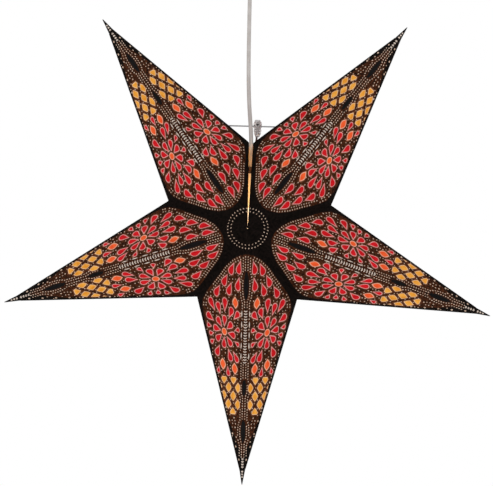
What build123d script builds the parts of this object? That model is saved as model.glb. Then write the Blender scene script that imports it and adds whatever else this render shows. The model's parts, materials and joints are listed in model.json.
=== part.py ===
from build123d import *

import math
import os

# A folding paper star lantern on its lamp cord, with the lamp inside and the ceiling rose above.
# Lengths are millimetres. +Z is up and the front of the star faces -Y. The origin is on the
# ceiling, at the middle of the rose's top face.

# Star: five arms, each of two creased leaves of card
arm_names = ("left_upper", "left_lower", "bottom", "right_lower", "right_upper")
tip_radius = 309.5
valley_radius = 105.0
half_depth = 100.0
seam_gap = 2.5
star_drop = 340.0
star_offset = 7.0
card = 0.25
crease_radius = 0.2
crease_room = 0.3
crease_room_at_valley = 4.0
eye_radius = 0.4
eye_width = 0.3
eye_thickness = 0.25
eye_gap = 0.2
eye_overlap = 0.3
ridge_room_at_tip = 1.3
ridge_room_at_centre = 10.2
valley_room = 3.5
tip_length = 13.1
tip_room = 0.75
tip_overhang = 5.5
tip_bluntness_share = 0.11

# Closing line across the open seam, its eyelets and its knots
line_radius = 0.6
line_over_valley = 21.5
line_height = valley_radius + line_over_valley
line_lift = 2.0
line_bend = 1.2
line_end_gap = 0.4
knot_radius = 1.4
knot_depth = 2.2
eyelet_set_in = 3.0
eyelet_flange_radius = 2.2
eyelet_flange = 0.3
eyelet_outer_radius = 1.3
eyelet_bore_radius = 0.9
eyelet_room = 0.05

# Cord lock on the closing line; heights are above the star's centre
lock_offset = 7.0
lock_step_over_line = 3.5
lock_length = 16.8
lock_top_height = line_height + lock_step_over_line
lock_foot_height = lock_top_height - lock_length
lock_radius = 4.3
lock_ring_radius = 4.8
lock_ring_height = 2.0
lock_ring_lift = 7.2
lock_foot_radius = 2.2
lock_taper_height = 3.8
lock_shoulder_radius = 5.2
lock_shoulder_under_line = 1.4
lock_cup_radius = 4.7
lock_cup_height = 2.2
lock_floor = 2.8
lock_bore_radius = 3.0
lock_window_radius = 1.7
lock_window_over_line = 0.5
lock_window_height = line_height + lock_window_over_line
lock_sight_radius = 1.4
lock_sight_over_line = 1.9
lock_tail_bore_radius = 0.75
lock_tail_bore_depth = 2.2
plunger_room = 0.3
plunger_travel = 1.2
plunger_stop_gap = 1.4
plunger_cap_radius = 3.7
plunger_cap_height = 3.2
plunger_cap_round = 1.2
plunger_window_rise = 0.1
spring_wire_radius = 0.3
spring_coil_radius = 2.2
spring_turns = 5
spring_seat_gap = 0.1
spring_length = 4.2
plunger_stem_rise = lock_floor + 2 * (spring_seat_gap + spring_wire_radius) + spring_length
plunger_stem_length = lock_length + plunger_stop_gap - plunger_stem_rise
tail_radius = 0.6
tail_knot_radius = 1.0
tail_inset = 2.0
tail_drop = 2.6
tail_fall = 4.6
tail_lean = 0.7
tail_set_back = 2.4

# Lamp cord: its route from the grip up to the clamp in the rose
cord_radius = 2.5
cord_points = [
    (7.0, 0.0, -278.2),
    (7.1, 0.0, -253.0),
    (6.8, 0.0, -227.0),
    (1.3, 0.0, -170.0),
    (0.0, 0.0, -76.0),
    (0.0, 0.0, -22.0),
]
cord_bend_share = 0.45
cord_room = 0.1

# Cord grip and lampholder; heights are above the star's centre
holder_top_height = 68.0
grip_height = 8.0
grip_top_radius = 4.2
grip_flange_radius = 6.4
grip_flange = 2.0
grip_thread_radius = 4.6
grip_thread_length = 6.4
thread_room = 0.2
nut_radius = 7.4
nut_height = 2.6
nut_gap = 0.1
holder_wall = 1.6
cap_neck_radius = 8.0
cap_shoulder_drop = 10.0
cap_height = 16.0
holder_radius = 13.2
shell_height = 24.0
shell_mouth_radius = 12.4
holder_room = 0.2
insulator_drop = 2.0
insulator_disc = 4.0
insulator_skirt_outer_radius = 10.6
insulator_skirt_inner_radius = 8.6
insulator_skirt_length = 16.0
screw_shell_radius = 7.7
screw_shell_wall = 0.4
screw_shell_length = 14.0
screw_shell_flange = 0.5
contact_hole_radius = 2.5
contact_radius = 2.3
contact_head_radius = 3.4
contact_head = 0.8
contact_reach = 1.6
lead_radius = 0.8
lead_spread = 1.2
lead_end_spread = 6.5
lead_bend = 1.5
lead_gap = 0.2

# Bulb with a small screw cap; heights are above the star's centre
bulb_contact_gap = 0.2
bulb_contact_radius = 2.4
bulb_contact_height = 1.3
bulb_insulator_radius = 4.4
bulb_insulator_height = 1.9
bulb_cap_radius = 6.9
bulb_cap_wall = 0.5
bulb_cap_length = 15.0
bulb_cap_taper = 1.6
bulb_cap_mouth_radius = 5.0
bulb_neck_radius = 6.2
bulb_neck_reach = 9.5
bulb_radius = 22.5
bulb_centre_height = -4.5
bulb_glass = 0.9
bulb_neck_end_height = 26.0
bulb_stem_radius = 1.8
bulb_stem_flare_radius = 5.0
bulb_stem_flare = 1.0
bulb_stem_foot_height = 7.0
filament_radius = 0.35
filament_bend = 1.5
filament_gap = 0.3
filament_outline_shares = ((0.05, 0.0), (0.36, 0.47), (0.14, 0.7))

# Ceiling rose; depths are below the ceiling
rose_radius = 42.0
rose_plate = 4.0
rose_skirt_depth = 12.0
rose_skirt_wall = 2.5
rose_cable_hole_radius = 8.0
fixing_hole_radius = 2.3
fixing_hole_spacing = 52.0
cup_room = 0.4
cup_wall = 2.0
cup_top_gap = 1.0
cup_straight_depth = 14.0
cup_depth = 46.0
cup_hole_radius = 6.2
cup_flat_radius = 10.0
cup_curve_shares = ((0.99, 0.62), (0.45, 0.94))
collar_radius = 6.0
collar_flange_radius = 9.5
collar_flange = 2.0
collar_top_depth = 41.0
collar_foot_depth = 55.0
collar_foot_radius = 3.8
collar_bore_radius = 2.75
clamp_top_depth = 26.0
clamp_height = 8.0
clamp_length = 22.0
clamp_width = 10.0
clamp_leg = 4.0
clamp_bore_radius = 2.6
terminal_length = 30.0
terminal_width = 14.0
terminal_height = 12.0
terminal_set_back = 22.0
terminal_hole_radius = 1.8
terminal_hole_pitch = 9.0
terminal_hole_depth = 6.0
rose_lead_rise = 4.8
cup_screw_radius = 1.25
cup_screw_room = 0.15
cup_screw_head_radius = 3.0
cup_screw_head = 1.6
cup_screw_depth = 8.0
cup_screw_inset = 3.0
cut_overrun = 1.0

centre = Vector(star_offset, 0, -star_drop)
depth_axis = Vector(0, 1, 0)
up = Vector(0, 0, 1)
wedge = (math.pi - math.asin(seam_gap / 2 / valley_radius)) / len(arm_names)


def keep(part, name):
    """Label a finished piece and write it to its file."""
    part.label = name
    export_step(part, os.path.join("parts", name + ".step"))


def above_centre(height):
    """The point on the star's vertical axis at that height above its centre."""
    return centre + up * height


def mid_plane_point(radius, azimuth):
    """A point of the star's mid plane; the azimuth counts from straight down towards +X."""
    return centre + Vector(radius * math.sin(azimuth), 0, -radius * math.cos(azimuth))


def shifted(start, end, room_start, room_end, inner):
    """The line start-end, moved towards inner by one distance at each end."""
    along = (end - start).normalized()
    across = Vector(-along.Y, along.X, 0)
    if across.dot(inner - start) < 0:
        across = across * -1
    return start + across * room_start, end + across * room_end


def crossing(line, other):
    """The point where two lines of a sketch cross."""
    (a, b), (c, d) = line, other
    run, way, gap = b - a, d - c, c - a
    share = (gap.X * way.Y - gap.Y * way.X) / (run.X * way.Y - run.Y * way.X)
    return a + run * share


class Leaf:
    """Where one leaf lies: arm 0 to 4, and side -1 or +1 of that arm's own line."""

    def __init__(self, arm, side):
        azimuth = (arm - (len(arm_names) - 1) / 2) * 2 * wedge
        self.valley = mid_plane_point(valley_radius, azimuth + side * wedge)
        self.tip = mid_plane_point(tip_radius, azimuth)
        self.along = (self.tip - self.valley).normalized()
        self.length = (self.tip - self.valley).length

    def panel(self, face):
        """The panel's plane, its centre corner there and that corner's side; face is -1 in front."""
        peak = centre + depth_axis * (face * half_depth) - self.valley
        foot = peak.dot(self.along)
        slope = peak - self.along * foot
        across = slope.normalized()
        outward = depth_axis * (face * across.cross(self.along).length)
        outward = outward - across * outward.dot(across)
        plane = Plane(origin=self.valley, x_dir=self.along, z_dir=outward.normalized())
        hand = 1 if plane.y_dir.dot(across) > 0 else -1
        return plane, Vector(foot, hand * slope.length), hand


def crease_bar(leaf, with_tip, eye_side):
    """The folded edge of a leaf; one leaf of each arm also carries the glued tip.

    A flat eye at the valley lies over the next arm's eye, on the side of the mid plane that
    eye_side gives, and turns on it. It is 0 at the open seam, which has no eyes.
    """
    tip_stop = tip_length * math.hypot(1, half_depth / tip_radius) + tip_room
    start = leaf.valley + leaf.along * crease_room_at_valley
    length = leaf.length - crease_room_at_valley - tip_stop
    if with_tip:
        length += tip_stop / 2
    with BuildPart() as bar:
        with BuildSketch(Plane(origin=start, z_dir=leaf.along)):
            Circle(crease_radius)
        extrude(amount=length)
        if eye_side:
            facing = depth_axis * eye_side
            flat = Plane(origin=leaf.valley + facing * (eye_gap / 2), x_dir=leaf.along, z_dir=facing)
            reach = crease_room_at_valley + eye_overlap
            with BuildSketch(flat):
                Circle(eye_radius)
                with Locations((reach / 2, 0)):
                    Rectangle(reach, eye_width)
            extrude(amount=eye_thickness)
        if with_tip:
            outward = (leaf.tip - centre).normalized()
            half_width = tip_length * math.tan(leaf.along.get_angle(outward) * math.pi / 180)
            half_rise = tip_length * half_depth / tip_radius
            base = Plane(origin=leaf.tip - outward * tip_length, x_dir=depth_axis, z_dir=outward)
            for plane, size in ((base, 1), (base.offset(tip_length + tip_overhang), tip_bluntness_share)):
                with BuildSketch(plane):
                    x, y = half_rise * size, half_width * size
                    Polygon((x, 0), (0, y), (-x, 0), (0, -y), align=None)
            loft()
    return bar.part


def leaf_panel(leaf, face, eyelet_place=None):
    """One flat half of a leaf, clear of its ridge, its valley and its crease."""
    plane, peak, hand = leaf.panel(face)
    valley, tip = Vector(0, 0), Vector(leaf.length, 0)
    inner = (valley + tip + peak) * (1 / 3)
    edge_room = crease_radius + crease_room
    tip_stop = leaf.length - tip_length * math.hypot(1, half_depth / tip_radius) - tip_room
    flank = shifted(valley, tip, edge_room, edge_room, inner)
    ridge = shifted(tip, peak, ridge_room_at_tip, ridge_room_at_centre, inner)
    fold = shifted(valley, peak, valley_room, valley_room, inner)
    end = (Vector(tip_stop, 0), Vector(tip_stop, peak.Y))
    corners = (
        crossing(fold, flank), crossing(end, flank), crossing(end, ridge), crossing(ridge, fold)
    )
    with BuildPart() as panel:
        with BuildSketch(plane):
            Polygon(*[(p.X, p.Y) for p in corners], align=None)
            if eyelet_place is not None:
                with Locations((eyelet_place, hand * eyelet_set_in)):
                    Circle(eyelet_outer_radius + eyelet_room, mode=Mode.SUBTRACT)
        extrude(amount=card)
    return panel.part


class SeamSide:
    """The places of the closing line on one seam leaf, whose back panel holds an eyelet."""

    def __init__(self, arm, side):
        self.leaf = Leaf(arm, side)
        self.plane, _, self.hand = self.leaf.panel(1)
        across = self.plane.y_dir * self.hand
        outward = self.plane.z_dir
        rise = above_centre(line_height).Z - self.leaf.valley.Z
        rise -= (across * eyelet_set_in).Z + (outward * (card + line_lift)).Z
        self.place = rise / self.leaf.along.Z
        hole = self.leaf.valley + self.leaf.along * self.place + across * eyelet_set_in
        self.bend = hole + outward * (card + line_lift)
        self.knot = hole - outward * knot_depth
        self.hole = hole


def eyelet(seam):
    """A small flanged ring in the back panel of a seam leaf."""
    plane = Plane(origin=seam.hole, x_dir=seam.leaf.along, z_dir=seam.plane.z_dir)
    with BuildPart() as ring:
        for start in (-eyelet_flange, card):
            with BuildSketch(plane.offset(start)):
                Circle(eyelet_flange_radius)
            extrude(amount=eyelet_flange)
        with BuildSketch(plane):
            Circle(eyelet_outer_radius)
        extrude(amount=card)
        with BuildSketch(plane.offset(-eyelet_flange)):
            Circle(eyelet_bore_radius)
        extrude(amount=card + 2 * eyelet_flange, mode=Mode.SUBTRACT)
    return ring.part


def round_strand(points, bends, radius):
    """A round strand along straight runs joined by arcs."""
    with BuildPart() as strand:
        with BuildLine() as route:
            FilletPolyline(*points, radius=bends)
        start = Vector(*points[0])
        way = (Vector(*points[1]) - start).normalized()
        with BuildSketch(Plane(origin=start, z_dir=way)):
            Circle(radius)
        sweep(path=route.wires()[0])
    return strand.part


def closing_line(seam, end):
    """Half of the closing line: its knot inside the arm, its bend over the eyelet, its free end."""
    with BuildPart() as line:
        add(round_strand([seam.knot, seam.bend, end], line_bend, line_radius))
        with Locations(seam.knot):
            Sphere(knot_radius)
    return line.part


def turned(foot, outline):
    """A round piece about the vertical line through foot, from its half outline."""
    with BuildPart() as piece:
        with BuildSketch(Plane(origin=foot, x_dir=(1, 0, 0), z_dir=(0, -1, 0))):
            with BuildLine():
                Polyline(*outline, close=True)
            make_face()
        revolve(axis=Axis(foot, (0, 0, 1)))
    return piece.part


def line_way(foot, height, reach):
    """The line's way through the lock, from side to side."""
    with BuildPart() as way:
        with BuildSketch(Plane(origin=foot + up * height, z_dir=(1, 0, 0))):
            Circle(lock_window_radius)
        extrude(amount=reach, both=True)
    return way.part


def lock_barrel(foot):
    """The clear barrel: tapered foot, gripping ring, wide head with a cup for the plunger's cap."""
    ring_foot, ring_top = lock_ring_lift, lock_ring_lift + lock_ring_height
    ring_slope = lock_ring_radius - lock_radius
    line_rise = lock_length - lock_step_over_line
    shoulder = line_rise - lock_shoulder_under_line
    shoulder_slope = lock_shoulder_radius - lock_radius
    cup_bore = plunger_cap_radius + plunger_room
    outline = [
        (0, 0), (lock_foot_radius, 0), (lock_radius, lock_taper_height),
        (lock_radius, ring_foot - ring_slope), (lock_ring_radius, ring_foot),
        (lock_ring_radius, ring_top), (lock_radius, ring_top + ring_slope),
        (lock_radius, shoulder - shoulder_slope), (lock_shoulder_radius, shoulder),
        (lock_shoulder_radius, lock_length), (lock_cup_radius, lock_length + lock_cup_height),
        (cup_bore, lock_length + lock_cup_height), (cup_bore, lock_length),
        (lock_bore_radius, lock_length), (lock_bore_radius, lock_floor), (0, lock_floor),
    ]
    with BuildPart() as barrel:
        add(turned(foot, outline))
        height = lock_window_height - lock_foot_height
        add(line_way(foot, height, lock_shoulder_radius), mode=Mode.SUBTRACT)
        with BuildSketch(Plane(origin=foot + up * (line_rise + lock_sight_over_line), z_dir=(0, -1, 0))):
            Circle(lock_sight_radius)
        extrude(amount=lock_shoulder_radius, mode=Mode.SUBTRACT)
        with BuildSketch(Plane(origin=foot)):
            Circle(lock_tail_bore_radius)
        extrude(amount=lock_tail_bore_depth, mode=Mode.SUBTRACT)
    return barrel.part


def lock_plunger(foot):
    """The plunger: a stem that slides in the bore under a thumb cap, with a way for the line."""
    stop = lock_length + plunger_stop_gap
    stem_radius = lock_bore_radius - plunger_room
    with BuildPart() as plunger:
        with BuildSketch(Plane(origin=foot + up * plunger_stem_rise)):
            Circle(stem_radius)
        extrude(amount=plunger_stem_length)
        height = lock_window_height - lock_foot_height + plunger_window_rise
        add(line_way(foot, height, lock_radius), mode=Mode.SUBTRACT)
        with BuildSketch(Plane(origin=foot + up * stop)):
            Circle(plunger_cap_radius)
        extrude(amount=plunger_cap_height)
        fillet(plunger.edges().sort_by(Axis.Z)[-1], radius=plunger_cap_round)
    return plunger.part


def lock_spring(foot):
    """The coil spring between the barrel's floor and the plunger."""
    start = foot + up * (lock_floor + spring_seat_gap + spring_wire_radius)
    with BuildPart() as spring:
        with BuildLine() as coil:
            Helix(spring_length / spring_turns, spring_length, spring_coil_radius, center=start)
        with BuildSketch(Plane(origin=coil.wires()[0] @ 0, z_dir=coil.wires()[0] % 0)):
            Circle(spring_wire_radius)
        sweep(path=coil.wires()[0], is_frenet=True)
    return spring.part


def lock_tail(foot):
    """The pull tail, from the foot of the barrel down behind the arm, with its end knot."""
    points = [
        foot + up * tail_inset,
        foot - up * tail_drop,
        foot - up * (tail_drop + tail_fall) + Vector(-tail_lean, tail_set_back, 0),
    ]
    with BuildPart() as tail:
        add(round_strand(points, tail_drop, tail_radius))
        with Locations(points[-1]):
            Sphere(tail_knot_radius)
    return tail.part


def lamp_cord():
    """The cord as straight runs and the largest arcs that the runs allow."""
    points = [Vector(*p) for p in cord_points]
    bends = []
    for before, here, after in zip(points, points[1:], points[2:]):
        first, second = here - before, after - here
        half_turn = math.radians(first.get_angle(second)) / 2
        bends.append(cord_bend_share * min(first.length, second.length) / math.tan(half_turn))
    print("cord radii", [round(b) for b in bends])
    cord = round_strand(points, bends, cord_radius)
    length = sum((b - a).length for a, b in zip(points, points[1:]))
    print("cord length", round(length, 1), "volume share",
          round(cord.volume / (math.pi * cord_radius**2 * length), 4))
    return cord


def cord_grip(top):
    """The dark grip where the cord enters the holder: taper, flange and threaded stem."""
    bore = cord_radius + cord_room
    return turned(top, [
        (bore, grip_height), (grip_top_radius, grip_height), (grip_flange_radius, grip_flange),
        (grip_flange_radius, 0), (grip_thread_radius, 0), (grip_thread_radius, -grip_thread_length),
        (bore, -grip_thread_length),
    ])


def grip_nut(top):
    """The six-sided nut that holds the grip in the cap."""
    with BuildPart() as nut:
        with BuildSketch(Plane(origin=top - up * (holder_wall + nut_gap + nut_height))):
            RegularPolygon(nut_radius, 6)
            Circle(grip_thread_radius + thread_room, mode=Mode.SUBTRACT)
        extrude(amount=nut_height)
    return nut.part


def holder_cap(top):
    """The upper half of the lampholder's case."""
    hole = grip_thread_radius + thread_room
    inner = holder_radius - holder_wall
    return turned(top, [
        (hole, 0), (cap_neck_radius, 0), (holder_radius, -cap_shoulder_drop),
        (holder_radius, -cap_height), (inner, -cap_height), (inner, -cap_shoulder_drop),
        (cap_neck_radius, -holder_wall), (hole, -holder_wall),
    ])


def holder_shell(top):
    """The lower half of the case, a slim tapering tube with a lip at its mouth."""
    start, end = -cap_height, -cap_height - shell_height
    return turned(top, [
        (holder_radius, start), (shell_mouth_radius, end),
        (shell_mouth_radius - holder_wall, end), (holder_radius - holder_wall, start),
    ])


def socket_insulator(top):
    """The insulator that carries the contacts: a disc with a skirt round the screw shell."""
    start = -cap_height - insulator_drop
    disc_foot = start - insulator_disc
    rim = holder_radius - holder_wall - 2 * holder_room
    return turned(top, [
        (contact_hole_radius, start), (rim, start), (rim, disc_foot),
        (insulator_skirt_outer_radius, disc_foot),
        (insulator_skirt_outer_radius - holder_room, disc_foot - insulator_skirt_length),
        (insulator_skirt_inner_radius, disc_foot - insulator_skirt_length),
        (insulator_skirt_inner_radius, disc_foot), (contact_hole_radius, disc_foot),
    ])


def socket_screw_shell(top):
    """The thin metal shell that the bulb screws into, flanged at its top."""
    start = -cap_height - insulator_drop - insulator_disc
    rim = insulator_skirt_inner_radius - thread_room / 2
    inner = screw_shell_radius - screw_shell_wall
    return turned(top, [
        (inner, start), (rim, start), (rim, start - screw_shell_flange),
        (screw_shell_radius, start - screw_shell_flange),
        (screw_shell_radius, start - screw_shell_length), (inner, start - screw_shell_length),
    ])


def socket_centre_contact(top):
    """The riveted contact in the middle of the insulator."""
    start = -cap_height - insulator_drop
    foot = start - insulator_disc
    return turned(top, [
        (0, start + contact_head), (contact_head_radius, start + contact_head),
        (contact_head_radius, start), (contact_radius, start), (contact_radius, foot),
        (contact_head_radius, foot), (contact_head_radius, foot - contact_head),
        (0, foot - contact_reach),
    ])


def holder_leads(top):
    """The cord's two cores, from its end down to the insulator."""
    start, end = -grip_thread_length - lead_gap, -cap_height - insulator_drop + lead_gap
    with BuildPart() as leads:
        for side in (-1, 1):
            points = [
                top + Vector(side * lead_spread, 0, start - cord_room),
                top + Vector(side * lead_end_spread, 0, (start + end) / 2),
                top + Vector(side * lead_end_spread, 0, end),
            ]
            add(round_strand(points, lead_bend, lead_radius))
    return leads.part


def bulb_outline(shrink):
    """Edges of the bulb's half outline, from its neck down to its lowest point."""
    radius = bulb_radius - shrink
    neck = bulb_neck_radius - shrink
    turn_x, turn_y = radius * 3 / 5, bulb_centre_height + radius * 4 / 5
    top = bulb_neck_end_height + bulb_neck_reach
    Line((neck, top), (neck, bulb_neck_end_height))
    Bezier(
        (neck, bulb_neck_end_height), (neck, turn_y + neck),
        (turn_x - (turn_x - neck) * 2 / 3, turn_y + (turn_x - neck) / 2), (turn_x, turn_y),
    )
    ThreePointArc(
        (turn_x, turn_y), (radius, bulb_centre_height), (0, bulb_centre_height - radius)
    )


def bulb_envelope():
    """The hollow glass ball with its neck."""
    top = bulb_neck_end_height + bulb_neck_reach
    with BuildPart() as glass:
        with BuildSketch(Plane(origin=centre, x_dir=(1, 0, 0), z_dir=(0, -1, 0))):
            with BuildLine():
                bulb_outline(0)
                bulb_outline(bulb_glass)
                Line((bulb_neck_radius, top), (bulb_neck_radius - bulb_glass, top))
                Line((0, bulb_centre_height - bulb_radius),
                     (0, bulb_centre_height - bulb_radius + bulb_glass))
            make_face()
        revolve(axis=Axis(centre, (0, 0, 1)))
    return glass.part


def bulb_filament():
    """The bent wire under the stem."""
    top = bulb_stem_foot_height - filament_gap
    half = [
        Vector(bulb_radius * x, 0, top - bulb_radius * y) for x, y in filament_outline_shares
    ]
    points = [centre + Vector(-p.X, 0, p.Z) for p in half]
    points += [centre + p for p in reversed(half)]
    return round_strand(points, filament_bend, filament_radius)


def rose_base():
    """The plate that is screwed to the ceiling, with a skirt that holds the cup."""
    reach = rose_radius + cut_overrun
    with BuildPart() as base:
        with BuildSketch(Plane.XY.offset(-rose_plate)):
            Circle(rose_radius)
        extrude(amount=rose_plate)
        with BuildSketch(Plane.XY.offset(-rose_skirt_depth)):
            Circle(rose_radius)
            Circle(rose_radius - rose_skirt_wall, mode=Mode.SUBTRACT)
        extrude(amount=rose_skirt_depth - rose_plate)
        with BuildSketch(Plane.XY.offset(-rose_plate)):
            Circle(rose_cable_hole_radius)
            with GridLocations(fixing_hole_spacing, 0, 2, 1):
                Circle(fixing_hole_radius)
        extrude(amount=rose_plate, mode=Mode.SUBTRACT)
        with BuildSketch(Plane(origin=(0, 0, -cup_screw_depth), z_dir=depth_axis)):
            Circle(cup_screw_radius + cup_screw_room)
        extrude(amount=reach, both=True, mode=Mode.SUBTRACT)
    return base.part


def rose_cup():
    """The cup that hides the wiring, with two screw holes in its rim."""
    outer = rose_radius + cup_room + cup_wall
    with BuildPart() as cup:
        with BuildSketch(Plane.XZ):
            with BuildLine():
                for shrink, depth in ((0, cup_depth), (cup_wall, cup_depth - cup_wall)):
                    rim, fall = outer - shrink, depth - cup_straight_depth
                    curve = [(rim * x, -cup_straight_depth - fall * y) for x, y in cup_curve_shares]
                    Line((rim, -cup_top_gap), (rim, -cup_straight_depth))
                    Bezier((rim, -cup_straight_depth), *curve, (cup_flat_radius, -depth))
                    Line((cup_flat_radius, -depth), (cup_hole_radius, -depth))
                Line((outer, -cup_top_gap), (outer - cup_wall, -cup_top_gap))
                Line((cup_hole_radius, -cup_depth), (cup_hole_radius, cup_wall - cup_depth))
            make_face()
        revolve(axis=Axis.Z)
        with BuildSketch(Plane(origin=(0, 0, -cup_screw_depth), z_dir=depth_axis)):
            Circle(cup_screw_radius + 2 * cup_screw_room)
        extrude(amount=outer + cut_overrun, both=True, mode=Mode.SUBTRACT)
    return cup.part


def rose_cup_screws():
    """The two small screws that pin the cup to the plate's skirt."""
    seat = rose_radius + cup_room + cup_wall + cup_screw_room
    with BuildPart() as screws:
        for side in (-1, 1):
            face = Plane(origin=(0, side * seat, -cup_screw_depth), z_dir=(0, side, 0))
            with BuildSketch(face):
                Circle(cup_screw_head_radius)
            extrude(amount=cup_screw_head)
            with BuildSketch(face):
                Circle(cup_screw_radius)
            extrude(amount=-cup_wall - cup_screw_inset)
    return screws.part


def rose_collar():
    """The collar in the cup's hole, where the cord comes out."""
    return turned(Vector(0, 0, 0), [
        (collar_bore_radius, -collar_top_depth), (collar_radius, -collar_top_depth),
        (collar_radius, -cup_depth), (collar_flange_radius, -cup_depth),
        (collar_flange_radius, -cup_depth - collar_flange),
        (collar_foot_radius, -collar_foot_depth), (collar_bore_radius, -collar_foot_depth),
    ])


def rose_cord_clamp():
    """The bridge that grips the cord under the plate."""
    leg_place = (clamp_length - clamp_leg) / 2
    with BuildPart() as clamp:
        with BuildSketch(Plane.XY.offset(-clamp_top_depth - clamp_height)):
            Rectangle(clamp_length, clamp_width)
            Circle(clamp_bore_radius, mode=Mode.SUBTRACT)
        extrude(amount=clamp_height)
        with BuildSketch(Plane.XY.offset(-clamp_top_depth)):
            with GridLocations(2 * leg_place, 0, 2, 1):
                Rectangle(clamp_leg, clamp_width)
        extrude(amount=clamp_top_depth - rose_plate)
    return clamp.part


def rose_terminal_block():
    """The block where the cord's cores meet the supply."""
    depth = rose_plate + terminal_height
    with BuildPart() as block:
        with BuildSketch(Plane.XY.offset(-depth)):
            with Locations((0, terminal_set_back)):
                Rectangle(terminal_length, terminal_width)
        extrude(amount=terminal_height)
        with BuildSketch(Plane.XY.offset(-depth)):
            with Locations((0, terminal_set_back)), GridLocations(terminal_hole_pitch, 0, 3, 1):
                Circle(terminal_hole_radius)
        extrude(amount=terminal_hole_depth, mode=Mode.SUBTRACT)
    return block.part


def rose_leads():
    """The cord's two cores in the rose, from its end to the terminal block."""
    start = cord_points[-1][2] + lead_gap
    face = terminal_set_back - terminal_width / 2 - lead_gap
    height = -rose_plate - terminal_height / 2
    with BuildPart() as leads:
        for side in (-1, 1):
            points = [
                Vector(side * lead_spread, 0, start),
                Vector(side * lead_spread, 0, start + rose_lead_rise),
                Vector(side * terminal_hole_pitch / 2, face / 2, height),
                Vector(side * terminal_hole_pitch / 2, face, height),
            ]
            add(round_strand(points, lead_bend, lead_radius))
    return leads.part


def main():
    os.makedirs("parts", exist_ok=True)
    seams = {-1: SeamSide(0, -1), 1: SeamSide(len(arm_names) - 1, 1)}
    for arm, name in enumerate(arm_names):
        for side, letter in ((-1, "a"), (1, "b")):
            leaf = Leaf(arm, side)
            at_seam = arm == (0 if side < 0 else len(arm_names) - 1)
            title = f"{name}_leaf_{letter}"
            bar = crease_bar(leaf, with_tip=side < 0, eye_side=0 if at_seam else -side)
            keep(bar, title + "_crease")
            keep(leaf_panel(leaf, -1), title + "_front")
            keep(leaf_panel(leaf, 1, seams[side].place if at_seam else None), title + "_back")
    keep(eyelet(seams[-1]), "left_eyelet")
    keep(eyelet(seams[1]), "right_eyelet")

    line_depth = seams[1].bend.Y
    foot = above_centre(lock_foot_height) + Vector(lock_offset, line_depth, 0)
    middle = above_centre(line_height) + Vector(lock_offset, line_depth, 0)
    for side, word in ((-1, "left"), (1, "right")):
        end = middle + Vector(side * line_end_gap, 0, 0)
        keep(closing_line(seams[side], end), f"closing_line_{word}")
    keep(lock_barrel(foot), "cord_lock_barrel")
    keep(lock_plunger(foot), "cord_lock_plunger")
    keep(lock_spring(foot), "cord_lock_spring")
    keep(lock_tail(foot), "cord_lock_tail")

    keep(lamp_cord(), "lamp_cord")
    top = above_centre(holder_top_height)
    keep(cord_grip(top), "cord_grip")
    keep(grip_nut(top), "grip_nut")
    keep(holder_cap(top), "holder_cap")
    keep(holder_shell(top), "holder_shell")
    keep(holder_leads(top), "holder_leads")
    keep(socket_insulator(top), "socket_insulator")
    keep(socket_screw_shell(top), "socket_screw_shell")
    keep(socket_centre_contact(top), "socket_centre_contact")

    contact_top = -cap_height - insulator_drop - insulator_disc - contact_reach - bulb_contact_gap
    contact_foot = contact_top - bulb_contact_height
    insulator_foot = contact_foot - bulb_insulator_height
    cap_foot = insulator_foot - bulb_cap_length
    bore = bulb_cap_radius - bulb_cap_wall
    keep(turned(top, [
        (0, contact_top), (bulb_contact_radius, contact_foot), (0, contact_foot),
    ]), "bulb_end_contact")
    keep(turned(top, [
        (0, contact_foot), (bulb_contact_radius, contact_foot),
        (bulb_insulator_radius, insulator_foot), (0, insulator_foot),
    ]), "bulb_insulator")
    keep(turned(top, [
        (bulb_insulator_radius, insulator_foot), (bulb_cap_mouth_radius, insulator_foot),
        (bulb_cap_radius, insulator_foot - bulb_cap_taper), (bulb_cap_radius, cap_foot),
        (bore, cap_foot), (bore, insulator_foot - bulb_cap_taper),
        (bulb_insulator_radius, insulator_foot - bulb_cap_wall),
    ]), "bulb_cap")
    keep(bulb_envelope(), "bulb_glass")
    stem_top = bulb_neck_end_height + bulb_neck_reach
    keep(turned(centre, [
        (0, stem_top), (bulb_stem_flare_radius, stem_top),
        (bulb_stem_flare_radius, stem_top - bulb_stem_flare),
        (bulb_stem_radius, bulb_neck_end_height), (bulb_stem_radius, bulb_stem_foot_height),
        (0, bulb_stem_foot_height),
    ]), "bulb_stem")
    keep(bulb_filament(), "bulb_filament")

    keep(rose_base(), "rose_base")
    keep(rose_cup(), "rose_cup")
    keep(rose_cup_screws(), "rose_cup_screws")
    keep(rose_collar(), "rose_collar")
    keep(rose_cord_clamp(), "rose_cord_clamp")
    keep(rose_terminal_block(), "rose_terminal_block")
    keep(rose_leads(), "rose_leads")


main()
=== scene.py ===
# %% [markdown]
# # A folding paper star lantern
# The lantern is a five-armed star of printed card. It hangs on its lamp cord from a ceiling rose,
# and a small bulb lights it from inside. The frame brings every hard piece at its real size and
# place. Here each surface gets its finish, the card gets its print, and the cord its line.

import json
import math
import random

import bmesh
import bpy
from mathutils import Matrix, Vector


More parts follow.
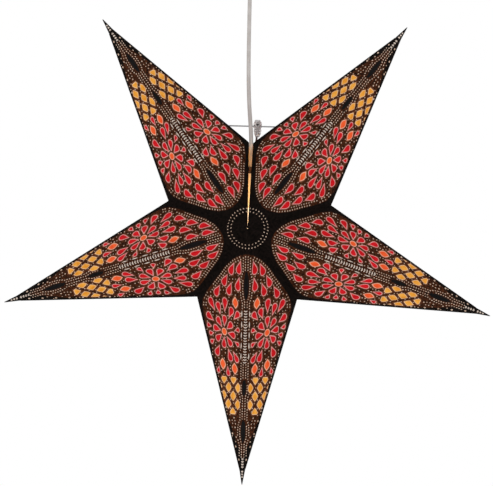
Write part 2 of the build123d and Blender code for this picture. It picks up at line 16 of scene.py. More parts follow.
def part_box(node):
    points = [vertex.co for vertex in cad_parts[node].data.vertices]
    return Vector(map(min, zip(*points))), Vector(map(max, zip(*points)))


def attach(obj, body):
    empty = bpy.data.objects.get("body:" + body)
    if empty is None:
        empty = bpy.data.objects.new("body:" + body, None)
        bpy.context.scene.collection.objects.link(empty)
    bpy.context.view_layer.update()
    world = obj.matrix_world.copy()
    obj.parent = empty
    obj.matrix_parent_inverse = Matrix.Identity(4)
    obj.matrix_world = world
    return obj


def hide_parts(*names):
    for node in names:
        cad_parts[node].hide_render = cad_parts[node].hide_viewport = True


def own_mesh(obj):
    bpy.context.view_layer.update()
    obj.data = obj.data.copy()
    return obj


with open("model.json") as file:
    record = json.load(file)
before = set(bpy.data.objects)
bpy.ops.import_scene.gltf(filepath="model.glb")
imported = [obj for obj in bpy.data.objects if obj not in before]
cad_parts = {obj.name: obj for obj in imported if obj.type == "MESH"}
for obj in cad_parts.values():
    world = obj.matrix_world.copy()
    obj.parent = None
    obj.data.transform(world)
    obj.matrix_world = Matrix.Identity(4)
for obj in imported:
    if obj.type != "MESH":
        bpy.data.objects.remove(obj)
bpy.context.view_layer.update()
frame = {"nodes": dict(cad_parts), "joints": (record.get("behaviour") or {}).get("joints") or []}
nodes = frame["nodes"]
MM = 0.001

# %% [markdown]
# ## The star's own points
# Each leaf of the star is a pair of flat triangles that share a crease. Their corners are the tip,
# the valley and the centre of the front or the back. They could be typed in again as numbers. But
# the hinges of the frame turn about the valleys and the tips, so they already say where these are,
# and nothing can drift apart.

# %% Read the corners of the star from its hinges
ARMS = ("left_upper", "left_lower", "bottom", "right_lower", "right_upper")
HALF_DEPTH = 100 * MM
TIP_RADIUS = 309.5 * MM
hinge_places = {
    joint["name"]: Vector(joint["pos_m"]) for joint in frame["joints"] if "pos_m" in joint
}
tips = {arm: hinge_places[f"{arm}_tip_turn"] for arm in ARMS}
star_centre = tips["bottom"] + Vector((0, 0, TIP_RADIUS))
print("star centre:", [round(c, 4) for c in star_centre])


def leaf_corners(arm, letter, face):
    """The centre, tip and valley corners of one panel; face is "front" or "back"."""
    depth = -HALF_DEPTH if face == "front" else HALF_DEPTH
    valley = hinge_places[f"{arm}_leaf_{letter}_{face}_turn"]
    return star_centre + Vector((0, depth, 0)), tips[arm], valley


# %% [markdown]
# ## The camera
# The photograph was taken from far away, almost square to the star, with the picture turned a
# little. A near camera with a wide lens would make the front points look too large. A long lens at
# a few metres gives the same flat look, so that is what stands here. It looks at the point that
# lies in the middle of the photograph.

# %% Place the camera
CAMERA_DISTANCE = 2.8
CAMERA_AZIMUTH = math.radians(1.06)
CAMERA_ROLL = math.radians(1.6)
VIEW_WIDTH = 0.607
TARGET_FROM_STAR = Vector((-2.6, 0, -17.5)) * MM


def linked(name, data):
    """A new object in the scene that shows this mesh, curve, lamp or camera."""
    thing = bpy.data.objects.new(name, data)
    bpy.context.scene.collection.objects.link(thing)
    return thing


camera_data = bpy.data.cameras.new("photo_view")
camera = linked("photo_view", camera_data)
camera_data.lens = camera_data.sensor_width * CAMERA_DISTANCE / VIEW_WIDTH
camera_data.clip_start, camera_data.clip_end = 0.1, 50
target = star_centre + TARGET_FROM_STAR
away = Vector((math.sin(CAMERA_AZIMUTH), -math.cos(CAMERA_AZIMUTH), 0))
camera.location = target + away * CAMERA_DISTANCE
upright = (-away).to_track_quat("-Z", "Y").to_matrix().to_4x4()
camera.rotation_euler = (upright @ Matrix.Rotation(CAMERA_ROLL, 4, "Z")).to_euler()
bpy.context.scene.camera = camera
print("camera:", round(camera_data.lens), "mm lens at", CAMERA_DISTANCE, "m")

# %% [markdown]
# ## Helpers for finishes
# Real plastic, metal and ink are never one flat colour. An image could carry their small changes,
# but it would have to be fitted to every piece. So every finish is a small node tree round one
# Principled shader: a noise texture on the piece's own coordinates mixes two near colours, and a
# finer one drives a bump. It works on any shape at its real scale.

# %% Helpers for materials
NOISE_DETAIL = 3.0
MOTTLE_DARK, MOTTLE_LIGHT = 0.35, 0.65
RELIEF_FINENESS = 8
RELIEF_DEPTH = 0.2 * MM


def new_finish(name, roughness, metallic=0.0, coat=0.0, transmission=0.0, alpha=1.0, ior=1.5,
               shine=0.5):
    """A material with one Principled shader and its node tree."""
    material = bpy.data.materials.new(name)
    material.use_nodes = True
    shader = material.node_tree.nodes["Principled BSDF"]
    shader.inputs["Roughness"].default_value = roughness
    shader.inputs["Metallic"].default_value = metallic
    shader.inputs["Coat Weight"].default_value = coat
    shader.inputs["Transmission Weight"].default_value = transmission
    shader.inputs["Alpha"].default_value = alpha
    shader.inputs["IOR"].default_value = ior
    shader.inputs["Specular IOR Level"].default_value = shine
    return material, material.node_tree, shader


def noise(tree, scale):
    """Noise on the piece's own coordinates."""
    place = tree.nodes.new("ShaderNodeTexCoord")
    texture = tree.nodes.new("ShaderNodeTexNoise")
    texture.inputs["Scale"].default_value = scale
    texture.inputs["Detail"].default_value = NOISE_DETAIL
    tree.links.new(place.outputs["Object"], texture.inputs["Vector"])
    return texture.outputs["Fac"]


def ramp(tree, value, stops):
    """Colours over a value; each stop is a position and a colour."""
    node = tree.nodes.new("ShaderNodeValToRGB")
    elements = node.color_ramp.elements
    while len(elements) < len(stops):
        elements.new(0.5)
    for element, (position, colour) in zip(elements, stops):
        element.position = position
        element.color = (*colour, 1)
    tree.links.new(value, node.inputs["Fac"])
    return node.outputs["Color"]


def add_bump(tree, shader, height, strength):
    """Fine relief from a value."""
    bump = tree.nodes.new("ShaderNodeBump")
    bump.inputs["Strength"].default_value = strength
    bump.inputs["Distance"].default_value = RELIEF_DEPTH
    tree.links.new(height, bump.inputs["Height"])
    tree.links.new(bump.outputs["Normal"], shader.inputs["Normal"])


def mottled(name, dark, light, scale, roughness, bump=0.1, glow=0.0, **extra):
    """A finish whose colour drifts between two near colours, with fine relief and an even glow."""
    material, tree, shader = new_finish(name, roughness, **extra)
    colour = ramp(tree, noise(tree, scale), [(MOTTLE_DARK, dark), (MOTTLE_LIGHT, light)])
    tree.links.new(colour, shader.inputs["Base Color"])
    if glow:
        tree.links.new(colour, shader.inputs["Emission Color"])
        shader.inputs["Emission Strength"].default_value = glow
    add_bump(tree, shader, noise(tree, scale * RELIEF_FINENESS), bump)
    return material


def dress(name, material):
    """Give a frame node its finish."""
    mesh = nodes[name].data
    mesh.materials.clear()
    mesh.materials.append(material)


# %% [markdown]
# ## Finishes of the lamp, its cord and its rose
# These are everyday plastics and metals: a pale grey cord sheath, a dark grip, an ivory
# lampholder, nickel and brass contacts, and a white ceiling rose. Their solids in the frame have
# the right shape already. So nothing is modelled again, and each only gets its finish.

# %% Make and assign the lamp's finishes
sheath = mottled("cord_sheath", (0.42, 0.39, 0.37), (0.5, 0.47, 0.45), 60, 0.45, bump=0.15)
grip_black = mottled("grip_plastic", (0.035, 0.018, 0.012), (0.06, 0.03, 0.02), 90, 0.5)
ivory = mottled("holder_plastic", (0.8, 0.76, 0.66), (0.86, 0.83, 0.74), 40, 0.3, coat=0.3)
glazed = mottled("insulator_ceramic", (0.78, 0.75, 0.68), (0.84, 0.82, 0.76), 50, 0.25, coat=0.6)
brass = mottled("contact_brass", (0.6, 0.42, 0.16), (0.72, 0.54, 0.25), 150, 0.32, metallic=1.0)
nickel = mottled("bulb_cap_metal", (0.58, 0.56, 0.53), (0.7, 0.69, 0.66), 150, 0.3, metallic=1.0)
steel = mottled("screw_steel", (0.45, 0.45, 0.46), (0.6, 0.6, 0.61), 200, 0.3, metallic=1.0)
bulb_black = mottled("bulb_black", (0.01, 0.01, 0.012), (0.02, 0.02, 0.024), 90, 0.1)
lead_blue = mottled("lead_sheath", (0.06, 0.05, 0.22), (0.09, 0.07, 0.3), 90, 0.35)
white = mottled(
    "rose_plastic", (0.76, 0.76, 0.74), (0.82, 0.82, 0.8), 30, 0.35, bump=0.05, coat=0.2
)
inner_white = mottled("rose_inner_plastic", (0.6, 0.6, 0.58), (0.7, 0.7, 0.68), 60, 0.5)
frosted = mottled(
    "bulb_glass", (0.95, 0.85, 0.68), (1.0, 0.9, 0.75), 25, 0.35, bump=0.02, glow=0.7, alpha=0.92
)
glowing_wire = mottled("filament_wire", (1, 0.6, 0.25), (1, 0.7, 0.35), 400, 0.4, glow=8.0)

FINISHES = {
    "cord_grip": grip_black, "grip_nut": grip_black,
    "holder_cap": ivory, "holder_shell": ivory, "socket_insulator": glazed,
    "socket_screw_shell": brass, "socket_centre_contact": brass, "holder_leads": lead_blue,
    "bulb_end_contact": brass, "bulb_insulator": bulb_black, "bulb_cap": nickel,
    "bulb_glass": frosted, "bulb_stem": frosted, "bulb_filament": glowing_wire,
    "rose_base": white, "rose_cup": white, "rose_collar": white, "rose_cup_screws": steel,
    "rose_cord_clamp": inner_white, "rose_terminal_block": inner_white, "rose_leads": lead_blue,
}
for node_name, finish in FINISHES.items():
    dress(node_name, finish)
print("lamp:", len(FINISHES), "pieces with their finishes")

# %% [markdown]
# ## The lamp cord
# The cord carries the lamp, so it hangs almost straight, with the slight bow of a cord that was
# packed in a coil. Straight tubes end to end would show their corners. A curve with a round bevel
# and a smooth line bends evenly and keeps its thickness everywhere.

# %% Draw the cord
CORD_DIAMETER = 5 * MM
CORD_POINTS = [
    (0.0070, 0.0, -0.2782),
    (0.0071, 0.0, -0.2530),
    (0.0068, 0.0, -0.2270),
    (0.0013, 0.0, -0.1700),
    (0.0000, 0.0, -0.0760),
    (0.0000, 0.0, -0.0220),
]


def smooth_curve(name, points, diameter):
    """A round strand along one smooth line."""
    curve = bpy.data.curves.new(name, "CURVE")
    curve.dimensions = "3D"
    curve.bevel_depth = diameter / 2
    curve.bevel_resolution = 6
    curve.use_fill_caps = True
    curve.resolution_u = 24
    spline = curve.splines.new("NURBS")
    spline.points.add(len(points) - 1)
    for point, place in zip(spline.points, points):
        point.co = (*place, 1)
    spline.order_u = 3
    spline.use_endpoint_u = True
    return linked(name, curve)


cord = smooth_curve("lamp_cord_sheath", CORD_POINTS, CORD_DIAMETER)
cord.data.materials.append(sheath)
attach(cord, "pendant")
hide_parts("lamp_cord")

# %% [markdown]
# ## The cord lock
# The lock that holds the closing line is a little clear barrel with a plunger that a thumb presses
# down. Clear plastic could be plain glass, but a real one is slightly clouded, so the barrel
# passes three quarters of the light. The plunger is pale at its cap and painted near black below
# it. That black is painted shade, standing for a shadowed hole seen through the barrel's window.
# A ramp over its height colours both on one solid.

# %% Finish the cord lock and the eyelets
PLUNGER_PAINTED_SHADE_TO, PLUNGER_PALE_FROM = 0.7, 0.8
clear_grey = mottled(
    "lock_plastic", (0.78, 0.72, 0.71), (0.92, 0.87, 0.86), 120, 0.16,
    bump=0.02, transmission=0.75, ior=1.45,
)
plunger_with_painted_shade, plunger_tree, plunger_shader = new_finish(
    "plunger_plastic", 0.25, coat=0.3, transmission=0.35
)
plunger_place = plunger_tree.nodes.new("ShaderNodeTexCoord")
plunger_axes = plunger_tree.nodes.new("ShaderNodeSeparateXYZ")
plunger_tree.links.new(plunger_place.outputs["Object"], plunger_axes.inputs["Vector"])
plunger_height = plunger_tree.nodes.new("ShaderNodeMapRange")
plunger_low, plunger_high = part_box("cord_lock_plunger")
plunger_height.inputs["From Min"].default_value = plunger_low.z
plunger_height.inputs["From Max"].default_value = plunger_high.z
plunger_tree.links.new(plunger_axes.outputs["Z"], plunger_height.inputs["Value"])
# The near-black stop is painted shade: the shadowed hole seen through the barrel's window.
plunger_colour = ramp(plunger_tree, plunger_height.outputs["Result"], [
    (PLUNGER_PAINTED_SHADE_TO, (0.012, 0.008, 0.008)), (PLUNGER_PALE_FROM, (0.62, 0.6, 0.6)),
])
plunger_tree.links.new(plunger_colour, plunger_shader.inputs["Base Color"])
add_bump(plunger_tree, plunger_shader, noise(plunger_tree, 900), 0.05)
dress("cord_lock_barrel", clear_grey)
dress("cord_lock_plunger", plunger_with_painted_shade)
dress("left_eyelet", steel)
dress("right_eyelet", steel)
print("lock:", round((plunger_high.z - plunger_low.z) / MM, 1), "mm plunger")

# %% [markdown]
# ## The closing line, the pull tail and the spring
# A thin grey line holds the seam shut behind the cord. Its soft strands stand out a little past
# their core. The pull tail under the lock is a pair of dark red strands, side by side, and the
# spring in the lock gets shorter when the plunger goes down. All three lie just where their solids
# lie. So they could be drawn again as curves, but merged copies of the solids, moved or swollen in
# mesh code, are sure to pass through the same holes.

# %% Copy the strands and the spring
SEAM_BODIES = {"left": "left_upper_leaf_a_back", "right": "right_upper_leaf_b_back"}
LINE_SWELL = 0.25
TAIL_SHIFTS = (-1.5, -0.25)
line_grey = mottled("closing_line", (0.25, 0.25, 0.26), (0.35, 0.35, 0.36), 900, 0.7, bump=0.4)
tail_red = mottled("lock_tail", (0.05, 0.008, 0.008), (0.2, 0.04, 0.04), 400, 0.7, bump=0.4)


def finished_mesh(bm, name, finishes):
    """The mesh of what was drawn, with its finishes in their order."""
    mesh = bpy.data.meshes.new(name)
    bm.to_mesh(mesh)
    bm.free()
    for finish in finishes:
        mesh.materials.append(finish)
    return mesh


def copied(node_name, name, finish, side, shifts=(0,), swell=0):
    """Merged copies of a frame node by the seam, moved sideways and swollen across, in mm."""
    bm = bmesh.new()
    for shift in shifts:
        known = set(bm.verts)
        bm.from_mesh(nodes[node_name].data)
        added = [v for v in bm.verts if v not in known]
        bmesh.ops.translate(bm, verts=added, vec=(shift * MM, 0, 0))
    bmesh.ops.remove_doubles(bm, verts=bm.verts, dist=0.001 * MM)
    bmesh.ops.recalc_face_normals(bm, faces=bm.faces)
    bm.normal_update()
    for vertex in bm.verts:
        vertex.co += Vector((0, vertex.normal.y, vertex.normal.z)) * swell * MM
    for face in bm.faces:
        face.material_index = 0
    piece = linked(name, finished_mesh(bm, name, [finish]))
    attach(piece, SEAM_BODIES[side])
    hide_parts(node_name)
    return piece


for side in SEAM_BODIES:
    copied(f"closing_line_{side}", f"closing_line_{side}_strand", line_grey, side,
           swell=LINE_SWELL)
copied("cord_lock_tail", "lock_tail_strands", tail_red, "right", TAIL_SHIFTS)
spring = copied("cord_lock_spring", "lock_spring_coil", steel, "right")
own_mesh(spring)

# %% [markdown]
# ## The print on the card
# The print is the star's face, and every panel has it once, mirrored from leaf to leaf and from
# front to back. It could be painted, but a picture of it would blur when seen near. So it is drawn
# once, in the panel's own plane, as thin inlays with a pale outline under each, and its edges stay
# sharp from near and far. The layout thinks as the eye does: how far down the arm, and how far
# from its ridge, as seen from the front. The panel leans away from the eye, so `seen` works out
# where such a place lies on the card. All sizes of the print are in millimetres.

# %% The panel that carries the print
MASTER_CENTRE, MASTER_TIP, MASTER_VALLEY = leaf_corners("bottom", "a", "front")
RIDGE = (MASTER_TIP - MASTER_CENTRE).length / MM
along = (MASTER_TIP - MASTER_CENTRE).normalized()
VALLEY_ALONG = (MASTER_VALLEY - MASTER_CENTRE).dot(along) / MM
across = (MASTER_VALLEY - MASTER_CENTRE) / MM - along * VALLEY_ALONG
VALLEY_ACROSS = across.length
across.normalize()
arm_axis = (MASTER_TIP - star_centre).normalized()
ALONG_SEEN = along.dot(arm_axis)
ACROSS_DOWN = across.dot(arm_axis)
ACROSS_SEEN = (across - arm_axis * ACROSS_DOWN - Vector((0, across.y, 0))).length
END_SLOPE = -ACROSS_DOWN / ALONG_SEEN
TIP_LENGTH = 13.1
TIP_ROOM = 0.1
SHEET_END = RIDGE - (TIP_LENGTH + TIP_ROOM) / ALONG_SEEN
ARM = TIP_RADIUS / MM
print("panel:", round(RIDGE, 1), "mm ridge, valley at",
      round(VALLEY_ALONG, 1), round(VALLEY_ACROSS, 1))


def seen(u, v):
    """The place on the card that is seen u down the arm and v from its ridge."""
    y = v / ACROSS_SEEN
    return (u - y * ACROSS_DOWN) / ALONG_SEEN, y


def as_seen(x, y):
    """Where a place on the card is seen: how far down the arm, and how far from its ridge."""
    return x * ALONG_SEEN + y * ACROSS_DOWN, y * ACROSS_SEEN


def flank_seen(u):
    """How far the crease is seen from the ridge, u down the arm."""
    valley_down = VALLEY_ALONG * ALONG_SEEN + VALLEY_ACROSS * ACROSS_DOWN
    return VALLEY_ACROSS * ACROSS_SEEN * (ARM - u) / (ARM - valley_down)


def from_flank(x, y):
    """How far a point of the panel lies from the crease."""
    run, rise = RIDGE - VALLEY_ALONG, VALLEY_ACROSS
    return ((RIDGE - x) * rise - y * run) / math.hypot(run, rise)


# %% [markdown]
# ### Shapes of the print
# Petals, buds, hearts and rungs are all closed outlines. They could be drawn point by point, but a
# short formula for each gives an even curve at any size: ovals, drops, leaves and half rounds.
# Each is placed by its middle and turned to its direction. `grown` moves an outline outwards, which
# makes the pale edge round a petal, and `clipped` cuts one off along a line.

# %% Outlines
CORNERS = 14
DROP_FULLNESS = 1.3
SHARPEST_CORNER = 0.55  # the limit on how far a sharp corner is moved


def placed(points, x, y, turn):
    """Points turned by that angle in degrees and moved to x, y."""
    c, s = math.cos(math.radians(turn)), math.sin(math.radians(turn))
    return [(x + c * px - s * py, y + s * px + c * py) for px, py in points]


def oval(x, y, length, width, turn=0, count=CORNERS):
    """An oval."""
    angles = [2 * math.pi * i / count for i in range(count)]
    points = [(length / 2 * math.cos(a), width / 2 * math.sin(a)) for a in angles]
    return placed(points, x, y, turn)


def drop(x, y, length, width, turn):
    """A drop, round at one end and pointed at the end that it is turned to."""
    points = []
    for i in range(CORNERS):
        a = 2 * math.pi * i / CORNERS
        half_width = width / 2 * math.sin(a) * (1 - math.cos(a)) / DROP_FULLNESS
        points.append((length / 2 * math.cos(a), half_width))
    return placed(points, x, y, turn)


def leaf(x, y, length, width, turn):
    """A pointed leaf of two equal arcs."""
    count = CORNERS // 2
    top = [
        (length * (i / count - 0.5), width / 2 * math.sin(math.pi * i / count))
        for i in range(count)
    ]
    under = [(-px, -py) for px, py in top]
    return placed(top[::-1] + under[::-1], x, y, turn)


def half_round(x, length, width, count=8):
    """Half an oval that stands on the ridge, so that the next leaf's half completes it."""
    angles = [math.pi * i / count for i in range(count + 1)]
    return [(x + length / 2 * math.cos(a), width * math.sin(a)) for a in angles]


def clipped(points, rise):
    """The part of an outline where rise(x, y) isn't below zero."""
    kept = []
    for a, b in zip(points, points[1:] + points[:1]):
        high, low = rise(*a), rise(*b)
        if high >= 0:
            kept.append(a)
        if (high >= 0) != (low >= 0):
            share = high / (high - low)
            kept.append((a[0] + (b[0] - a[0]) * share, a[1] + (b[1] - a[1]) * share))
    return kept


def facing_up(points):
    """The outline in the order that faces away from the card."""
    area = sum(ax * by - bx * ay for (ax, ay), (bx, by) in zip(points, points[1:] + points[:1]))
    return points if area > 0 else points[::-1]


def grown(points, by):
    """An outline moved outwards by a distance."""
    out = []
    for before, here, after in zip(points[-1:] + points, points, points[1:] + points[:1]):
        first = (Vector(here) - Vector(before)).normalized()
        second = (Vector(after) - Vector(here)).normalized()
        normal = Vector((first.y + second.y, -first.x - second.x)).normalized()
        reach = by / max(SHARPEST_CORNER, normal.dot(Vector((first.y, -first.x))))
        out.append((here[0] + normal.x * reach, here[1] + normal.y * reach))
    return out


# %% [markdown]
# ### The brown field and the room on it
# Most of a panel is a brown field with a curved end towards the middle of the star, and a black
# border. Everything else lies inside it. Each shape could be given its place by hand, but then a
# change to one would mean moving its neighbours. Instead every shape asks whether its place is
# free, and is left out where it would touch the border or another shape.

# %% Draw the field, and keep account of its room
OUTLINE = 1.0  # the pale edge round a petal
BORDER = 2.6  # the black edge along the crease
FLANK_ROOM, CURVE_ROOM, RIDGE_ROOM = 3.6, 4.6, 7.8
SHAPE_ROOM = 2.3  # from one shape to the next
FIELD_END = 281
FIELD_CURVE = [  # how far down the arm, and how far from the ridge
    (31, 0), (32.5, 8), (37, 17), (46, 26.5), (56, 33.5), (66, 41), (77, 49), (87, 54), (96, 54.5)
]
FIELD_EDGE = FIELD_CURVE + [(u, flank_seen(u) - BORDER) for u in (110, 150, 200, 240)]
FIELD_EDGE += [(FIELD_END, 0)]
shapes = {"red": [], "orange": [], "amber": [], "pale": [], "dark": []}
printed = []


def from_field_edge(u, v):
    """How far a seen place lies inside the field's edge towards the middle of the star."""
    return min(
        ((bv - av) * (u - au) - (bu - au) * (v - av)) / math.hypot(bu - au, bv - av)
        for (au, av), (bu, bv) in zip(FIELD_CURVE, FIELD_CURVE[1:])
    )


def inside_panel(points, ridge_room):
    """Whether an outline keeps inside the field's border and off the ridge."""
    return all(
        y > ridge_room and from_flank(x, y) > FLANK_ROOM
        and from_field_edge(*as_seen(x, y)) > CURVE_ROOM
        for x, y in points
    )


def keep(ink, points, outline):
    """Add a shape, and note where it lies."""
    points = facing_up(points)
    cx, cy = (sum(p[i] for p in points) / len(points) for i in (0, 1))
    reach = max(math.dist((cx, cy), p) for p in points) + outline
    shapes[ink].append((points, outline))
    printed.append((cx, cy, reach, outline, points))


def free_of_shapes(x, y, room):
    """Whether a place keeps that far from every shape."""
    for cx, cy, reach, outline, points in printed:
        if math.hypot(x - cx, y - cy) > reach + room:
            continue
        inside = False
        for (ax, ay), (bx, by) in zip(points, points[1:] + points[:1]):
            if (ay > y) != (by > y) and x < (bx - ax) * (y - ay) / (by - ay) + ax:
                inside = not inside
            length = math.hypot(bx - ax, by - ay) or 1e-6
            t = max(0, min(1, ((x - ax) * (bx - ax) + (y - ay) * (by - ay)) / length ** 2))
            if math.hypot(x - ax - t * (bx - ax), y - ay - t * (by - ay)) < outline + room:
                return False
        if inside:
            return False
    return True


def print_shape(ink, points, outline=OUTLINE, room=SHAPE_ROOM, ridge_room=RIDGE_ROOM):
    """Add a shape if it keeps inside the border and clear of the shapes before it."""
    edge = grown(facing_up(points), outline)
    cx, cy = (sum(p[i] for p in points) / len(points) for i in (0, 1))
    tested = edge + [((x + cx) / 2, (y + cy) / 2) for x, y in edge]
    if inside_panel(points, ridge_room) and all(free_of_shapes(x, y, room) for x, y in tested):
        keep(ink, points, outline)


print("field:", len(FIELD_EDGE), "corners")

# %% [markdown]
# ### The ridge and the rosette
# The ornament is a plain folk one, and every arm repeats it. A ladder of pale rungs and three dark
# eyes stand on the ridge, each as a half that the next leaf completes. A rosette fills the middle
# of each panel: an orange heart, eight petals round it, and outer petals where there is room. One
# function turns a drop round the heart, and so makes both rings.

# %% Lay out the ridge and the rosette
EYES = ((52, 86, 2.8), (184, 204, 2.2), (234, 262, 2.6))  # start, end and half width
RUNG_START, RUNG_STEP, RUNGS = 100, 3.3, 20
RUNG_LENGTH, RUNG_WIDTH = 1.7, 3.2
SLIVER_START, SLIVER_STEP, SLIVERS = 103, 13, 5
SLIVER_FROM_RIDGE = 4.6
HEART = 7.4
ORANGE_OUTLINE = 1.2
ROSETTE_X, ROSETTE_Y = seen(126, 26)

for i in range(RUNGS):
    x, y = seen(RUNG_START + RUNG_STEP * i, 0)
    keep("pale", half_round(x, RUNG_LENGTH, RUNG_WIDTH, 4), 0)
for i in range(SLIVERS):
    x, y = seen(SLIVER_START + SLIVER_STEP * i, SLIVER_FROM_RIDGE)
    sliver = leaf(x, y, length=9, width=1.8, turn=1)
    print_shape("pale", sliver, outline=0, room=0.3, ridge_room=5)
for start, end, width in EYES:
    first, last = seen(start, 0)[0], seen(end, 0)[0]
    keep("dark", half_round((first + last) / 2, last - first, width / ACROSS_SEEN), 0)


def petal_ring(count, radius, length, width, room):
    """Red petals on a ring round the rosette's heart, each pointing to it."""
    for i in range(count):
        angle = math.radians(360 / count * i)
        x = ROSETTE_X + radius * math.cos(angle)
        y = ROSETTE_Y + radius * math.sin(angle)
        turned = drop(x, y, length, width, math.degrees(angle) + 180)
        print_shape("red", turned, room=room)


print_shape("orange", oval(ROSETTE_X, ROSETTE_Y, HEART, HEART), ORANGE_OUTLINE)
petal_ring(count=8, radius=14, length=12.6, width=7.4, room=-0.8)
petal_ring(count=16, radius=30, length=13.5, width=8, room=0.2)
print("rosette:", len(shapes["red"]), "petals")

# %% [markdown]
# ### The amber lattice
# Further down the arm stand rows of amber lozenges with slightly rounded sides. Cells that end
# neatly at the border could be drawn one by one. It is shorter to draw a whole lattice and to cut
# each cell off along the four lines of its border.

# %% Lay out the lattice
LATTICE_FROM, LATTICE_START, LATTICE_TO = 182, 184, 227
LATTICE_ROWS, LATTICE_COLUMNS = 7, 6
LATTICE_ALONG, LATTICE_ACROSS = 10.4, 5.9  # from row to row, and half a column
LATTICE_SHARE = 0.53  # how much of that a lozenge fills, from its middle
LATTICE_FULLNESS = 0.56  # 0.5 gives straight sides, and more gives rounder ones
LATTICE_OFFSET = 1.5
LATTICE_RIDGE_ROOM, LATTICE_FLANK_ROOM = 5.4, 5
SHORTEST_SIDE = 0.6
LATTICE_BORDER = (
    lambda x, y: as_seen(x, y)[1] - LATTICE_RIDGE_ROOM,
    lambda x, y: from_flank(x, y) - LATTICE_FLANK_ROOM,
    lambda x, y: as_seen(x, y)[0] - LATTICE_FROM,
    lambda x, y: LATTICE_TO - as_seen(x, y)[0],
)


def lozenge(u, v):
    """A lozenge of the lattice where it is seen, cut off at the border."""
    a, b = LATTICE_ALONG * LATTICE_SHARE, LATTICE_ACROSS * LATTICE_SHARE
    side = (LATTICE_FULLNESS * a, LATTICE_FULLNESS * b)
    half = [(a, 0), side, (0, b), (-side[0], side[1])]
    cell = facing_up([seen(u + i * px, v + i * py) for i in (1, -1) for px, py in half])
    for rise in LATTICE_BORDER:
        cell = clipped(cell, rise)
    return [p for p, q in zip(cell, cell[1:] + cell[:1]) if math.dist(p, q) > SHORTEST_SIDE]


for row in range(LATTICE_ROWS):
    for column in range(LATTICE_COLUMNS):
        cell = lozenge(LATTICE_START + LATTICE_ALONG * row,
                       LATTICE_ACROSS * (2 * column + row % 2) + LATTICE_OFFSET)
        if len(cell) > 2:
            print_shape("amber", cell, outline=0.8, room=-0.7, ridge_room=6)
print("lattice:", len(shapes["amber"]), "cells")

# %% [markdown]
# ### Buds and loose petals
# Three orange buds stand beyond the rosette and towards the middle of the star. Red petals then
# fill what is left. Scattering them at random would leave holes, so they are tried on rings, the
# largest first, and turn to the middle of the star or of the rosette.

# %% Lay out the buds and the petals
BUDS = ((171, 12), (166, 27), (90, 13))
PETAL_SIZES = ((16, 8.4), (13, 7), (10, 5.8), (7, 4.6))  # length and width
STAR_RINGS, STAR_RING_START, STAR_RING_STEP = 16, 44, 4
STAR_SPOKES, STAR_SPOKE_START, STAR_SPOKE_STEP = 12, 6, 2.4
ROSETTE_RINGS, ROSETTE_RING_START, ROSETTE_RING_STEP = 14, 26, 3
ROSETTE_SPOKES = 36
ROSETTE_FROM, ROSETTE_TO = 88, 177


def petal(x, y, aim_x, aim_y, length, width):
    """Add a red petal that points to another place."""
    way = math.degrees(math.atan2(aim_y - y, aim_x - x))
    print_shape("red", drop(x, y, length, width, way))


for u, v in BUDS:
    bud = leaf(*seen(u, v), length=12, width=8.5, turn=-6)
    print_shape("orange", bud, ORANGE_OUTLINE, room=0.4)
for length, width in PETAL_SIZES:
    for ring in range(STAR_RINGS):
        radius = STAR_RING_START + STAR_RING_STEP * ring
        for k in range(STAR_SPOKES):
            turn = math.radians(STAR_SPOKE_START + STAR_SPOKE_STEP * k)
            x, y = seen(radius * math.cos(turn), radius * math.sin(turn))
            petal(x, y, 0, 0, length, width)
    for ring in range(ROSETTE_RINGS):
        radius = ROSETTE_RING_START + ROSETTE_RING_STEP * ring
        for k in range(ROSETTE_SPOKES):
            turn = math.radians(360 / ROSETTE_SPOKES * k)
            x, y = ROSETTE_X + radius * math.cos(turn), ROSETTE_Y + radius * math.sin(turn)
            if ROSETTE_FROM < as_seen(x, y)[0] < ROSETTE_TO:
                petal(x, y, ROSETTE_X, ROSETTE_Y, length, width)
print("shapes:", {ink: len(found) for ink, found in shapes.items()})

# %% [markdown]
# ### Dots
# Small pale dots run along the ridge and the curved border, fill the field between the shapes, and
# ring the middle of the star. Larger ones mark the crease and the field's open places. A texture
# of dots would run across the petals. So each dot is a small inlay of its own, and it is left out
# where it would touch a shape or another dot. A coarse grid of the dots keeps that test quick.

# %% Lay out the dots
random.seed(7)
DOT_GRID = 4.0
SMALLEST_DOT, SMALL_DOT, BORDER_DOT, MIDDLE_DOT, LARGE_DOT = 0.7, 0.95, 1.0, 1.1, 1.4
DOT_CURVE_ROOM, DOT_FLANK_ROOM, DOT_RIDGE_ROOM, DOT_END_ROOM = 1, 2.4, 1.0, 1
BEADS_FROM, BEAD_STEP, BEAD_LENGTH, BEAD_WIDTH = 283.0, 3.4, 2.3, 1.9
BEAD_TIP_ROOM = 2
CREASE_DOTS, END_DOTS = range(188, 288, 16), range(232, 280, 12)  # down the arm
OPEN_PLACES = ((41, 8.5), (92, 30), (153, 5), (176, 30), (180, 18))
RIDGE_DOTS_FROM, RIDGE_DOTS_TO, RIDGE_DOT_STEP = 34.0, 282, 3.2
RIDGE_DOT_NEAR, RIDGE_DOT_FAR = 1.5, 4.2
CURVE_DOT_STEP, CURVE_DOT_INSETS = 3.3, (1.5, 4.6)
MIDDLE_RINGS = ((20, 3), (24, 4))  # radius, and dots on each panel
HALF_ARM_TURN = 36
FILL_FROM_U, FILL_FROM_V, FILL_ROWS, FILL_COLUMNS = 38, 2, 66, 14
FILL_STEP, FILL_STRAY, FILL_TO, FILL_CURVE_ROOM = 3.8, 0.9, 284, 6
dots = []
taken = {}


